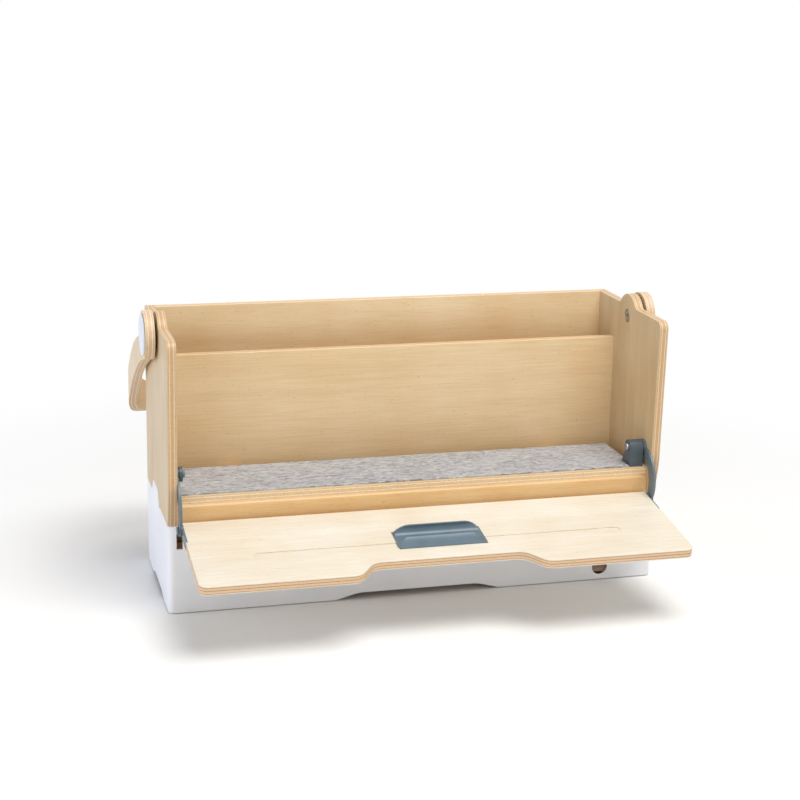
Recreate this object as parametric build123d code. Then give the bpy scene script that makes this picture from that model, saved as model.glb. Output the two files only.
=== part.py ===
from build123d import *
import os
from math import cos, radians, sin

# A carrying case whose front folds down into a sloping stand.
# X is to the right, Y to the back and Z up, in millimetres.
# The origin is the middle of the base on the surface that it stands on.

# Overall sizes
base_width = 436.6
base_depth = 140.0
base_height = 78.0
case_height = 237.5

# Material thicknesses
steel = 1.5
ply = 8.0
felt = 1.5
arm_steel = 2.0
leaf_steel = 1.5

# Clearances
running_gap = 0.3
pin_gap = 0.05
fitting_gap = 0.3
edge_ease = 0.6

# Steel base
skirt_gap = 0.8
corner_radius = 5.0
bend_radius = 2.0
flange = 14.0
front_arch_width = 153.0
front_arch_flat = 108.0
front_arch_height = 6.0
side_arch_width = 70.0
side_arch_flat = 52.0
side_arch_height = 5.0
arch_round = 30.0
front_hole_diameter = 14.4
front_hole_x = 168.8
front_hole_height = 12.4
slot_height = 19.2
slot_margin = 0.7
side_tab_length = 49.0
side_tab_height = 12.0
side_tab_slope = 9.0
side_tab_behind_front = 80.5
tab_round = 4.0

# Feet and floor of the base
foot_diameter = 16.0
foot_height = 5.5
foot_tab = 24.0
floor_side_gap = 1.5

# Side panels, back panel and divider
panel_lean = 10.8
panel_lean_height = 230.0
panel_knee = 6.8
panel_knee_height = 111.0
panel_curve = 3.2
panel_curve_height = 92.5
panel_setback = 0.5
panel_corner = 7.0
ear_radius = 20.0
ear_blend = 8.0
divider_height = 202.0
divider_behind_front = 93.0

# Shelf, its front board, ribs and mat
fascia_setback = 0.5
fascia_height = 17.0
fascia_round = 1.8
shelf_setback = 3.0
shelf_behind_front = 76.0
shelf_shoulder = 25.0
shelf_side_gap = 10.0
shelf_corner = 3.0
rib_x = 150.0

# Screws and dowels
dowel_diameter = 5.0
dowel_in_side = 4.5
dowel_in_board = 12.0
dowel_from_edge = 24.0
back_dowel_rise = 32.0
screw_diameter = 3.0
screw_head = 5.0
screw_head_height = 1.6
screw_length = 18.0
base_screw_rise = 13.5
socket_depth = 0.8
socket_width = 1.6

# Hinge bracket on the right, hinge boss on the left, and their bolts
bracket_width = 12.0
boss_width = 2.5
bracket_front = 4.0
bracket_depth = 18.0
bracket_top_radius = 6.5
bracket_shoulder = 15.1
bracket_shoulder_drop = 1.6
bracket_boss = 1.5
bracket_boss_radius = 5.5
bracket_screw_back = 11.2
bracket_screw_step = 3.0
arm_bolt_behind_front = 10.5
arm_bolt_above_shelf = 17.0
arm_bolt_diameter = 4.0
arm_bolt_head = 6.4
arm_bolt_head_height = 2.2
arm_bolt_in_panel = 5.0

# Hinge arm
arm_disc_radius = 6.5
arm_foot_radius = 4.8
arm_outer_bulge = (-19.6, 18.0)
arm_inner_bulge = (-7.0, 19.0)

# Folding flap, at rest open and sloping down to the front
flap_depth = 108.9
flap_slope = 8.67
flap_corner = 7.0
pivot_ahead = 9.0
pivot_below_base_top = 1.0
pin_from_rear = 6.0
flap_pin_diameter = 4.0
flap_pin_head = 7.0
flap_pin_head_height = 1.4
flap_pin_reach = 12.0
cutout_mouth = 157.0
cutout_floor = 128.0
cutout_depth = 19.0
cutout_round = 14.0
groove_length = 316.0
groove_width = 9.0
groove_depth = 0.9
groove_from_rear = 65.0

# Leaf on each side edge of the flap
leaf_length = 28.0
leaf_below = 5.0
leaf_top_step = 0.4
knuckle_radius = 5.0
heel_length = 13.0
heel_drop = 6.5
leaf_screw_diameter = 2.8
leaf_screw_head = 5.0
leaf_screw_head_height = 1.1
leaf_screw_length = 13.0
leaf_screw_places = (11.0, 22.0)

# Stopper let into the flap, at the foot of the slope
stopper_width = 76.0
stopper_depth = 29.0
stopper_from_rear = 43.0
stopper_sink = 2.0
stopper_plate_rise = 0.6
lip_height = 8.0
lip_foot = 74.0
lip_top = 46.0
lip_back_step = 1.0
lip_lean = 1.4
lip_thickness = 2.0
lip_toe = 7.5
lip_hollow_depth = 3.0
lip_hollow_rise = 2.0
ramp_start = 14.5
ramp_height = 3.8
ramp_hollow = 0.9
ramp_back_width = 46.0
ramp_front_width = 71.0
plate_corner = 2.5

# Carrying handle, at rest folded to the back
handle_behind_front = 63.5
handle_below_top = 9.5
handle_reach = 151.5
handle_bend = 28.0
handle_bar_top = 89.5
handle_bar_height = 17.5
handle_end_radius = 21.0
handle_low_middle = (72.5, -51.5)
handle_low_end = (133.0, -98.5)
handle_low_round = (141.3, -104.8)
handle_high_start = (12.0, -3.5)
handle_high_middle = (76.5, -25.0)
handle_gap = 2.5
spacer_radius = 9.0
sleeve_radius = 6.0
cap_radius = 17.5
cap_thickness = 1.4
cap_round = 0.9
handle_bolt_diameter = 6.0
handle_bolt_head = 9.6
handle_bolt_head_height = 2.0
counterbore_diameter = 12.5
counterbore_depth = 2.4
handle_bolt_engagement = 6.0
hex_socket_width = 4.0

# Places that follow from the sizes above
half_width = base_width / 2
front = -base_depth / 2
rear = base_depth / 2
panel_inner = half_width - ply
arm_inner = panel_inner - arm_steel
leaf_outer = arm_inner - running_gap
leaf_inner = leaf_outer - leaf_steel
bracket_outer = arm_inner - bracket_boss
bracket_inner = bracket_outer - bracket_width
boss_inner = bracket_outer - boss_width
flange_under = base_height - steel
shelf_bottom = base_height + fascia_height
fascia_front = front + fascia_setback
shelf_top = shelf_bottom + ply
felt_top = shelf_top + felt
floor_bottom = foot_height + steel
floor_top = floor_bottom + ply
divider_front = front + divider_behind_front
divider_rear = divider_front + ply
back_front = rear - ply
pivot_y = front - pivot_ahead
pivot_height = base_height - pivot_below_base_top
handle_y = front + handle_behind_front
handle_height = case_height - handle_below_top
arm_bolt_y = front + arm_bolt_behind_front
arm_bolt_height = shelf_top + arm_bolt_above_shelf
handle_inner = half_width + handle_gap
handle_outer = handle_inner + ply
bed = 0.5 * ply


def side_plane(x):
    """Plane across the case at x, with the sketch in (Y, Z) and its normal along +X."""
    return Plane(origin=(x, 0, 0), x_dir=(0, 1, 0), z_dir=(1, 0, 0))


def front_plane(y):
    """Plane facing the front at y, with the sketch in (X, Z) and its normal along -Y."""
    return Plane(origin=(0, y, 0), x_dir=(1, 0, 0), z_dir=(0, -1, 0))


def bar_x(x0, x1, outline):
    """Bar along X from x0 to x1 with an outline drawn in (Y, Z)."""
    return extrude(side_plane(x0) * outline, x1 - x0, dir=(1, 0, 0))


def block(x0, x1, y0, y1, z0, z1):
    """Box between two corners."""
    return Pos((x0 + x1) / 2, (y0 + y1) / 2, (z0 + z1) / 2) * Box(x1 - x0, y1 - y0, z1 - z0)


def rod_x(x0, x1, y, z, radius):
    """Round bar along X from x0 to x1."""
    return bar_x(x0, x1, Pos(y, z) * Circle(radius))


def rod_z(x, y, z0, z1, radius):
    """Round bar along Z from z0 to z1."""
    return Pos(x, y, (z0 + z1) / 2) * Cylinder(radius, z1 - z0)


def both_sides(solid):
    """The solid and its mirror image on the other side of the case."""
    return [solid, mirror(solid, about=Plane.YZ)]


def arch(width, flat, height, below):
    """Low arch with sloping ends, drawn up from a line that lies below the edge it cuts."""
    slope = (width - flat) / 2
    spread = slope * (height + below) / height
    outline = Polygon(
        (-flat / 2 - spread, -below), (flat / 2 + spread, -below), (flat / 2, height), (-flat / 2, height),
        align=None,
    )
    top = outline.vertices().sort_by(Axis.Y)[-2:]
    return fillet(top, arch_round)


def side_tab_face(gap):
    """Upright tab on the side of the base, which stands in a notch of the side panel."""
    middle = front + side_tab_behind_front
    foot = side_tab_length / 2 + gap
    top = foot - side_tab_slope
    outline = Polygon(
        (middle - foot, flange_under - steel), (middle + foot, flange_under - steel),
        (middle + foot, base_height), (middle + top, base_height + side_tab_height + gap),
        (middle - top, base_height + side_tab_height + gap), (middle - foot, base_height),
        align=None,
    )
    return fillet(outline.vertices().sort_by(Axis.Y)[-2:], tab_round)


def base_shell():
    """Front and both sides of the steel base in one bent sheet, with a flange round the top."""
    outer = block(-half_width, half_width, front, rear - steel, skirt_gap, base_height)
    outer = fillet(outer.edges().filter_by(Axis.Z).group_by(Axis.Y)[0], corner_radius)
    rim = outer.faces().sort_by(Axis.Z)[-1].edges()
    rim = [edge for edge in rim if edge.center().Y < rear - 2 * steel]
    outer = fillet(rim, bend_radius)
    inner = block(-half_width + steel, half_width - steel, front + steel, rear, -ply, flange_under)
    inner = fillet(inner.edges().filter_by(Axis.Z).group_by(Axis.Y)[0], corner_radius - steel)
    shell = outer - inner
    reach = half_width - flange
    shell -= block(-reach, reach, front + flange, rear, floor_top, case_height)
    tab = bar_x(half_width - steel, half_width, side_tab_face(0))
    relief = side_tab_length / 2 + steel
    middle = front + side_tab_behind_front
    fold = block(half_width - flange - steel, half_width, middle - relief, middle + relief, flange_under,
                 case_height)
    slot = block(leaf_inner - slot_margin, panel_inner + slot_margin, front - steel, front + steel + pin_gap,
                 flange_under - slot_height, flange_under)
    foot = block(half_width - steel - foot_tab, half_width - steel, front + steel, front + steel + foot_tab,
                 foot_height, floor_bottom)
    rear_foot = Pos(0, base_depth - 2 * steel - foot_tab, 0) * foot
    for piece in both_sides(fold) + both_sides(slot):
        shell -= piece
    for piece in both_sides(tab) + both_sides(foot) + both_sides(rear_foot):
        shell += piece
    front_arch = arch(front_arch_width, front_arch_flat, front_arch_height, steel)
    side_arch = arch(side_arch_width, side_arch_flat, side_arch_height, steel)
    shell -= extrude(front_plane(front - steel) * front_arch, -ply)
    shell -= bar_x(-base_width, base_width, side_arch)
    hole = front_plane(front - steel) * Pos(front_hole_x, front_hole_height) * Circle(front_hole_diameter / 2)
    shell -= extrude(hole, -ply)
    for x, y in side_screw_places() + fascia_screw_places():
        shell -= rod_z(x, y, flange_under - steel, base_height + steel, screw_diameter / 2 + pin_gap)
    return shell


def base_back():
    """Back plate of the steel base, with its own flange."""
    plate = block(-half_width, half_width, rear - steel, rear, skirt_gap, base_height)
    plate = fillet(plate.edges().filter_by(Axis.Z).group_by(Axis.Y)[-1], steel / 2)
    reach = half_width - flange
    ledge = block(-reach, reach, rear - flange, rear - steel, flange_under, base_height)
    plate += ledge
    for x, y in back_screw_places():
        plate -= rod_z(x, y, flange_under - steel, base_height + steel, screw_diameter / 2 + pin_gap)
    return plate


def side_screw_places():
    """Centres of the screws up into the two side panels."""
    x = half_width - (ply + steel) / 2 + pin_gap
    rows = (front + 2 * flange, rear - flange)
    return [(side * x, y) for side in (-1, 1) for y in rows]


def back_screw_places():
    """Centres of the screws up into the back panel."""
    y = rear - (ply + steel) / 2 + pin_gap
    return [(x, y) for x in (-rib_x, 0, rib_x)]


def fascia_screw_places():
    """Centres of the screws up into the front board."""
    y = front + steel + (ply + fascia_setback - steel) / 2
    return [(x, y) for x in (-rib_x / 2, rib_x / 2)]


def base_screws():
    """Screws from under the flange up into the panels, and one head each."""
    screws = []
    for x, y in side_screw_places() + back_screw_places() + fascia_screw_places():
        shank = rod_z(x, y, flange_under, flange_under + base_screw_rise, screw_diameter / 2)
        head = rod_z(x, y, flange_under - screw_head_height, flange_under, screw_head / 2)
        screws.append(shank + head)
    return screws


def screw_holes():
    """Bores for the screws that come up through the flange."""
    depth = flange_under + base_screw_rise + pin_gap
    places = side_screw_places() + back_screw_places() + fascia_screw_places()
    return [rod_z(x, y, flange_under, depth, screw_diameter / 2 + pin_gap) for x, y in places]


def feet():
    """Rubber feet under the corner tabs of the base."""
    x = half_width - steel - foot_tab / 2
    y = base_depth / 2 - steel - foot_tab / 2
    foot = rod_z(x, y, 0, foot_height, foot_diameter / 2)
    foot = fillet(foot.edges().sort_by(Axis.Z)[0], skirt_gap)
    return [Pos(side * x - x, end * y - y, 0) * foot for side in (-1, 1) for end in (-1, 1)]


def floor_board():
    """Plywood floor of the base, which lies on the corner tabs."""
    x = half_width - steel - floor_side_gap
    y = base_depth / 2 - steel - floor_side_gap
    board = block(-x, x, -y, y, floor_bottom, floor_top)
    return fillet(board.edges().filter_by(Axis.Z), corner_radius)


def side_panel():
    """Right plywood side with its leaning front edge, ear for the handle and bottom notch."""
    bottom_front = (front + panel_setback, base_height)
    knee = (front - panel_knee, panel_knee_height)
    curve = (front - panel_curve, panel_curve_height)
    lean = (panel_lean - panel_knee) / (panel_lean_height - panel_knee_height)
    top_front = (front - panel_lean - lean * (case_height - panel_lean_height), case_height)
    outline = [
        Line(bottom_front, (rear, base_height)),
        Line((rear, base_height), (rear, case_height)),
        Line((rear, case_height), top_front),
        Line(top_front, knee),
        ThreePointArc(knee, curve, bottom_front),
    ]
    face = make_face(outline)
    face = fillet(face.vertices().sort_by_distance(Vertex(*top_front, 0))[0], panel_corner)
    face = face + Pos(handle_y, handle_height) * Circle(ear_radius)
    meeting = [point for point in face.vertices() if abs(point.Y - case_height) < pin_gap]
    meeting = [point for point in meeting if abs(point.X - handle_y) < ear_radius]
    face = fillet(meeting, ear_blend)
    panel = bar_x(panel_inner, half_width, face)
    panel = fillet(panel.edges().filter_by(Axis.X, reverse=True), edge_ease)
    panel -= bar_x(panel_inner - ply, half_width + ply, side_tab_face(fitting_gap))
    panel -= rod_x(panel_inner, half_width, handle_y, handle_height, handle_bolt_diameter / 2 + pin_gap)
    panel -= rod_x(panel_inner, panel_inner + counterbore_depth, handle_y, handle_height,
                   counterbore_diameter / 2)
    panel -= rod_x(panel_inner, panel_inner + arm_bolt_in_panel + pin_gap, arm_bolt_y, arm_bolt_height,
                   arm_bolt_diameter / 2 + pin_gap)
    for hole in screw_holes() + dowels(pin_gap):
        panel -= hole
    return panel


def dowel_places():
    """Heights and depths of the dowels that hold the divider and the back panel."""
    divider_heights = (base_height + dowel_from_edge, divider_height - dowel_from_edge)
    divider_rows = [(divider_front + bed, z) for z in divider_heights]
    middle = (base_height + case_height) / 2
    back_heights = (base_height + back_dowel_rise, middle, case_height - dowel_from_edge)
    back_rows = [(back_front + bed, z) for z in back_heights]
    fascia_rows = [(fascia_front + bed, base_height + fascia_height / 2)]
    return divider_rows + back_rows + fascia_rows


def dowels(gap):
    """Wooden dowels between the side panels and the boards that run across."""
    pins = []
    for y, z in dowel_places():
        pin = rod_x(panel_inner - dowel_in_board - gap, panel_inner + dowel_in_side + gap, y, z,
                    dowel_diameter / 2 + gap)
        pins += both_sides(pin)
    return pins


def cross_board(y0, y1, z0, z1, front_round=edge_ease):
    """Board between the two side panels, with eased edges and bores for its dowels and screws."""
    face = Pos((y0 + y1) / 2, (z0 + z1) / 2) * Rectangle(y1 - y0, z1 - z0)
    face = fillet(face.vertices().sort_by_distance(Vertex(y0, z1, 0))[0], front_round)
    others = ((y0, z0), (y1, z0), (y1, z1))
    face = fillet([face.vertices().sort_by_distance(Vertex(*place, 0))[0] for place in others], edge_ease)
    board = bar_x(-panel_inner, panel_inner, face)
    for hole in dowels(pin_gap) + screw_holes():
        board -= hole
    return board


def shelf_face(inset):
    """Outline of the shelf seen from above: full width but for a gap on the right, behind the bracket."""
    wide = panel_inner - inset
    narrow = panel_inner - shelf_side_gap - inset
    y0 = front + shelf_setback + inset
    y1 = front + shelf_shoulder - inset
    y2 = front + shelf_behind_front - inset
    outline = Polygon(
        (-wide, y0), (wide, y0), (wide, y1), (narrow, y1), (narrow, y2), (-wide, y2),
        align=None,
    )
    inside = [point for point in outline.vertices() if abs(point.X - narrow) < pin_gap]
    return fillet(inside, shelf_corner)


def shelf_board():
    """Plywood shelf behind the front board, bored for its screws."""
    board = extrude(Pos(0, 0, shelf_bottom) * shelf_face(0), ply)
    for x, y in shelf_screw_places():
        board -= rod_z(x, y, shelf_bottom, shelf_top, screw_diameter / 2 + pin_gap)
        board -= rod_z(x, y, shelf_top - screw_head_height, shelf_top, screw_head / 2 + pin_gap)
    for x, y in bracket_screw_places():
        board -= rod_z(x, y, shelf_bottom, shelf_top, screw_diameter / 2 + pin_gap)
    return board


def felt_mat():
    """Felt on the shelf, cut out round the hinge bracket."""
    mat = extrude(Pos(0, 0, shelf_top) * shelf_face(edge_ease), felt)
    window = block(bracket_inner - edge_ease, bracket_outer + edge_ease, front + bracket_front - edge_ease,
                   front + bracket_front + bracket_depth + edge_ease, shelf_top, felt_top)
    return mat - window


def shelf_screw_places():
    """Centres of the screws down through the shelf into the ribs."""
    rows = (front + shelf_shoulder, front + shelf_behind_front - flange)
    return [(side * rib_x, y) for side in (-1, 1) for y in rows]


def bracket_screw_places():
    """Centres of the screws up through the shelf into the hinge bracket."""
    middle = (bracket_inner + bracket_outer) / 2
    y = front + bracket_front + bracket_screw_back
    return [(middle + offset, y) for offset in (-bracket_screw_step, bracket_screw_step)]


def shelf_screws():
    """Screws through the shelf, with heads flush under the felt."""
    screws = []
    for x, y in shelf_screw_places():
        shank = rod_z(x, y, shelf_top - screw_length, shelf_top, screw_diameter / 2)
        head = rod_z(x, y, shelf_top - screw_head_height, shelf_top, screw_head / 2)
        screws.append(shank + head)
    return screws


def bracket_screws():
    """Screws from under the shelf up into the hinge bracket."""
    screws = []
    for x, y in bracket_screw_places():
        shank = rod_z(x, y, shelf_bottom, shelf_bottom + screw_length, screw_diameter / 2)
        head = rod_z(x, y, shelf_bottom - screw_head_height, shelf_bottom, screw_head / 2)
        screws.append(shank + head)
    return screws


def shelf_rib():
    """Upright rib under the shelf, from the front board to the divider."""
    rib_front = fascia_front + ply
    rib = block(rib_x - bed, rib_x + bed, rib_front, divider_front, base_height, shelf_bottom)
    for x, y in shelf_screw_places():
        rib -= rod_z(x, y, shelf_top - screw_length - pin_gap, shelf_top, screw_diameter / 2 + pin_gap)
    return rib


def hinge_boss(inner, outline):
    """Outline drawn from x inner outwards, with a step against the arm and a bore for its bolt."""
    boss = bar_x(inner, bracket_outer, outline)
    boss += rod_x(bracket_outer, arm_inner, arm_bolt_y, arm_bolt_height, bracket_boss_radius)
    return boss - rod_x(inner, arm_inner, arm_bolt_y, arm_bolt_height, arm_bolt_diameter / 2 + pin_gap)


def hinge_bracket():
    """Cast bracket on the right of the shelf, which carries the top of the hinge arm."""
    y0 = front + bracket_front
    y1 = y0 + bracket_depth
    shoulder = (front + bracket_shoulder, arm_bolt_height - bracket_shoulder_drop)
    outline = Polygon(
        (y0, shelf_top), (y1, shelf_top), (y1 - edge_ease, felt_top + 2 * felt), shoulder,
        (arm_bolt_y, arm_bolt_height), (y0, arm_bolt_height),
        align=None,
    )
    face = outline + Pos(arm_bolt_y, arm_bolt_height) * Circle(bracket_top_radius)
    bracket = hinge_boss(bracket_inner, face)
    for x, y in bracket_screw_places():
        bracket -= rod_z(x, y, shelf_top, shelf_bottom + screw_length + pin_gap, screw_diameter / 2 + pin_gap)
    return bracket


def round_boss():
    """Round boss that stands in for the bracket against the arm on the left."""
    return hinge_boss(boss_inner, Pos(arm_bolt_y, arm_bolt_height) * Circle(bracket_top_radius))


def hinge_arm():
    """Crescent arm of the flap's hinge, in front of the case, against the side panel."""
    disc = Pos(arm_bolt_y, arm_bolt_height) * Circle(arm_disc_radius)
    foot = Pos(pivot_y, pivot_height) * Circle(arm_foot_radius)
    upper_outer = (arm_bolt_y - arm_disc_radius + pin_gap, arm_bolt_height)
    upper_inner = (arm_bolt_y, arm_bolt_height - arm_disc_radius + edge_ease)
    lower_outer = (pivot_y - arm_foot_radius, pivot_height)
    lower_inner = (pivot_y + arm_foot_radius, pivot_height)
    outer_bulge = (front + arm_outer_bulge[0], base_height + arm_outer_bulge[1])
    inner_bulge = (front + arm_inner_bulge[0], base_height + arm_inner_bulge[1])
    crescent = make_face([
        ThreePointArc(upper_outer, outer_bulge, lower_outer),
        Line(lower_outer, lower_inner),
        ThreePointArc(lower_inner, inner_bulge, upper_inner),
        Line(upper_inner, upper_outer),
    ])
    face = disc + crescent + foot
    arm = bar_x(arm_inner, panel_inner, face)
    arm -= rod_x(arm_inner, panel_inner, arm_bolt_y, arm_bolt_height, arm_bolt_diameter / 2 + pin_gap)
    arm -= rod_x(arm_inner, panel_inner, pivot_y, pivot_height, flap_pin_diameter / 2 + pin_gap)
    return arm


def arm_bolt(seat):
    """Bolt into the right panel through the top of the arm, with its head against a seat at x."""
    head_start = seat - arm_bolt_head_height
    end = panel_inner + arm_bolt_in_panel
    head = rod_x(head_start, seat, arm_bolt_y, arm_bolt_height, arm_bolt_head / 2)
    head = fillet(head.edges().group_by(Axis.X)[0], socket_depth)
    head -= rod_x(head_start, head_start + socket_depth, arm_bolt_y, arm_bolt_height, socket_width)
    return head + rod_x(seat, end, arm_bolt_y, arm_bolt_height, arm_bolt_diameter / 2)


def at_flap(solid):
    """Turns a piece drawn flat about the flap's pin to the slope that the flap rests at."""
    return Pos(0, pivot_y, pivot_height) * Rot(flap_slope, 0, 0) * solid


def flap_board():
    """Folding plywood front, drawn flat with its pin line at the origin."""
    y_rear = pin_from_rear
    y_front = pin_from_rear - flap_depth
    floor = y_front + cutout_depth
    outline = Polygon(
        (-leaf_outer, y_rear), (-leaf_outer, y_front),
        (-cutout_mouth / 2, y_front), (-cutout_floor / 2, floor),
        (cutout_floor / 2, floor), (cutout_mouth / 2, y_front),
        (leaf_outer, y_front), (leaf_outer, y_rear),
        align=None,
    )
    inner = [point for point in outline.vertices() if abs(point.X) < leaf_inner and point.Y < 0]
    face = fillet(inner, cutout_round)
    corners = [point for point in face.vertices() if abs(abs(point.X) - leaf_outer) < pin_gap and point.Y < 0]
    face = fillet(corners, flap_corner)
    board = extrude(Pos(0, 0, -bed) * face, ply)
    board = fillet(board.edges().filter_by(Axis.Z, reverse=True), edge_ease)
    groove_y = pin_from_rear - groove_from_rear
    slot = SlotOverall(groove_length, groove_width)
    board -= extrude(Pos(0, groove_y, bed - groove_depth) * slot, ply)
    stopper_rear = pin_from_rear - stopper_from_rear
    pocket = stopper_width / 2 + pin_gap
    board -= block(-pocket, pocket, stopper_rear - stopper_depth - pin_gap, stopper_rear + pin_gap,
                   bed - stopper_sink, ply)
    rebate = block(leaf_inner, half_width, -leaf_length - fitting_gap, flap_depth, -ply, ply)
    pin = rod_x(leaf_outer - flap_pin_reach - pin_gap, half_width, 0, 0, flap_pin_diameter / 2 + pin_gap)
    cuts = both_sides(rebate) + both_sides(pin)
    for place in leaf_screw_places:
        screw = rod_x(leaf_outer - leaf_screw_length - pin_gap, half_width, -place, 0,
                      leaf_screw_diameter / 2 + pin_gap)
        cuts += both_sides(screw)
    for cut in cuts:
        board -= cut
    return at_flap(board)


def heel_top():
    """Top of the heel in the flap's own frame, just under the flange when the flap rests."""
    under = flange_under - running_gap - pivot_height
    return (under - heel_length * sin(radians(flap_slope))) / cos(radians(flap_slope))


def flap_leaf():
    """Steel leaf let into the flap's side edge, with a heel that stops in the base's slot."""
    top = bed - leaf_top_step
    height = top + leaf_below
    middle = (top - leaf_below) / 2
    tongue = Pos(-leaf_length / 2, middle) * RectangleRounded(leaf_length, height, height / 2 - pin_gap)
    web = Pos(-leaf_length / 4, middle) * Rectangle(leaf_length / 2, height)
    heel = Polygon(
        (0, -heel_drop), (heel_length, -heel_drop), (heel_length, heel_top()), (0, heel_top()),
        align=None,
    )
    knuckle = Circle(knuckle_radius)
    leaf = bar_x(leaf_inner, leaf_outer, tongue + web + heel + knuckle)
    leaf -= rod_x(leaf_inner, leaf_outer, 0, 0, flap_pin_diameter / 2 + pin_gap)
    head_seat = leaf_outer - leaf_screw_head_height
    for place in leaf_screw_places:
        leaf -= rod_x(leaf_inner, leaf_outer, -place, 0, leaf_screw_diameter / 2 + pin_gap)
        leaf -= rod_x(head_seat, leaf_outer, -place, 0, leaf_screw_head / 2 + pin_gap)
    return at_flap(leaf)


def leaf_screws():
    """Screws that hold the leaves to the flap's side edges."""
    screws = []
    end = leaf_outer - pin_gap
    for place in leaf_screw_places:
        shank = rod_x(leaf_outer - leaf_screw_length, end, -place, 0, leaf_screw_diameter / 2)
        head = rod_x(leaf_outer - leaf_screw_head_height, end, -place, 0, leaf_screw_head / 2)
        screws += both_sides(at_flap(shank + head))
    return screws


def flap_pins():
    """Pins that the flap turns on: fast in the flap, free in the arms."""
    shank = rod_x(leaf_outer - flap_pin_reach, panel_inner + running_gap, 0, 0, flap_pin_diameter / 2)
    head = rod_x(panel_inner + running_gap, panel_inner + running_gap + flap_pin_head_height, 0, 0,
                 flap_pin_head / 2)
    head = fillet(head.edges().group_by(Axis.X)[-1], edge_ease)
    return both_sides(at_flap(shank + head))


def dome(foot_width, top_width, foot, low, high):
    """Outline with a straight top, ends that curve down and out to low, and a block below to foot."""
    wide = foot_width / 2
    narrow = top_width / 2
    return make_face([
        Line((-wide, foot), (wide, foot)),
        Line((wide, foot), (wide, low)),
        TangentArc((narrow, high), (wide, low), tangent=(1, 0)),
        Line((narrow, high), (-narrow, high)),
        TangentArc((-narrow, high), (-wide, low), tangent=(-1, 0)),
        Line((-wide, low), (-wide, foot)),
    ])


def laptop_stopper():
    """Stopper let into the flap: a raised lip, a hollow and a ramp down to the front."""
    y_rear = pin_from_rear - stopper_from_rear
    y_front = y_rear - stopper_depth
    plate_top = bed + stopper_plate_rise
    plate = block(-stopper_width / 2, stopper_width / 2, y_front, y_rear, bed - stopper_sink, plate_top)
    plate = fillet(plate.edges().filter_by(Axis.Z).group_by(Axis.Y)[0], plate_corner)
    lip_top_z = bed + lip_height
    lip_back = y_rear - lip_back_step
    crest = lip_back - lip_lean
    toe = y_rear - lip_toe
    lip_side = make_face([
        Line((lip_back, bed), (crest, lip_top_z + edge_ease)),
        Line((crest, lip_top_z + edge_ease), (crest - lip_thickness, lip_top_z + edge_ease)),
        ThreePointArc(
            (crest - lip_thickness, lip_top_z + edge_ease),
            (crest - lip_hollow_depth, plate_top + lip_hollow_rise),
            (toe - lip_thickness, plate_top - pin_gap),
        ),
        Line((toe - lip_thickness, plate_top - pin_gap), (toe, bed)),
        Line((toe, bed), (lip_back, bed)),
    ])
    lip_bar = bar_x(-stopper_width / 2, stopper_width / 2, lip_side)
    lip_face = dome(lip_foot, lip_top, 0, plate_top, lip_top_z)
    lip = lip_bar & extrude(front_plane(y_rear) * lip_face, stopper_depth, dir=(0, -1, 0))
    ramp_back = y_rear - ramp_start
    ramp_crest = (ramp_back - lip_lean, bed + ramp_height)
    ramp_middle = ((ramp_crest[0] + y_front) / 2, (ramp_crest[1] + plate_top) / 2 - ramp_hollow)
    ramp_side = make_face([
        Line((ramp_back, bed), ramp_crest),
        ThreePointArc(ramp_crest, ramp_middle, (y_front, plate_top)),
        Line((y_front, plate_top), (y_front, bed)),
        Line((y_front, bed), (ramp_back, bed)),
    ])
    ramp_bar = bar_x(-stopper_width / 2, stopper_width / 2, ramp_side)
    ramp_plan = dome(ramp_front_width, ramp_back_width, y_front - ply, y_front, ramp_back)
    ramp = ramp_bar & extrude(Pos(0, 0, bed) * ramp_plan, ply, dir=(0, 0, 1))
    return at_flap(plate + lip + ramp)


def handle_side():
    """Side view of the handle about its pivot: round end, drooping arm and upright cross bar."""
    low_back = (handle_reach, -handle_bar_top - handle_bar_height)
    high_back = (handle_reach, -handle_bar_top)
    low_start = (0, -handle_end_radius)
    arm = make_face([
        ThreePointArc(low_start, handle_low_middle, handle_low_end),
        ThreePointArc(handle_low_end, handle_low_round, low_back),
        Line(low_back, high_back),
        ThreePointArc(high_back, handle_high_middle, handle_high_start),
        Line(handle_high_start, low_start),
    ])
    return arm + Circle(handle_end_radius)


def handle_band():
    """Bent plywood handle: two arms and a cross bar in one band, with round ends."""
    outer = RectangleRounded(2 * handle_outer, 2 * handle_reach, handle_bend)
    inner = RectangleRounded(2 * handle_inner, 2 * (handle_reach - ply), handle_bend - ply)
    behind = Pos(0, handle_reach - handle_end_radius) * Rectangle(3 * handle_outer, 2 * handle_reach)
    wall = extrude(Pos(0, 0, -handle_reach) * ((outer - inner) & behind), 2 * handle_reach)
    band = wall & bar_x(-handle_outer - ply, handle_outer + ply, handle_side())
    bore = rod_x(-handle_outer, handle_outer, 0, 0, sleeve_radius + pin_gap)
    return Pos(0, handle_y, handle_height) * (band - bore)


def handle_cap():
    """Round white cap outside the handle's arm, with the sleeve that the arm turns on."""
    inside = handle_outer + running_gap
    disc = rod_x(inside, inside + cap_thickness, handle_y, handle_height, cap_radius)
    disc = fillet(disc.edges().group_by(Axis.X)[-1], cap_round)
    sleeve_start = handle_inner - running_gap
    cap = disc + rod_x(sleeve_start, inside, handle_y, handle_height, sleeve_radius)
    depth = sleeve_start + handle_bolt_engagement + pin_gap
    return cap - rod_x(sleeve_start, depth, handle_y, handle_height, handle_bolt_diameter / 2 + pin_gap)


def handle_spacer():
    """Nylon washer between the side panel and the handle's arm."""
    end = handle_inner - running_gap
    washer = rod_x(half_width, end, handle_y, handle_height, spacer_radius)
    return washer - rod_x(half_width, end, handle_y, handle_height, handle_bolt_diameter / 2 + pin_gap)


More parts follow.
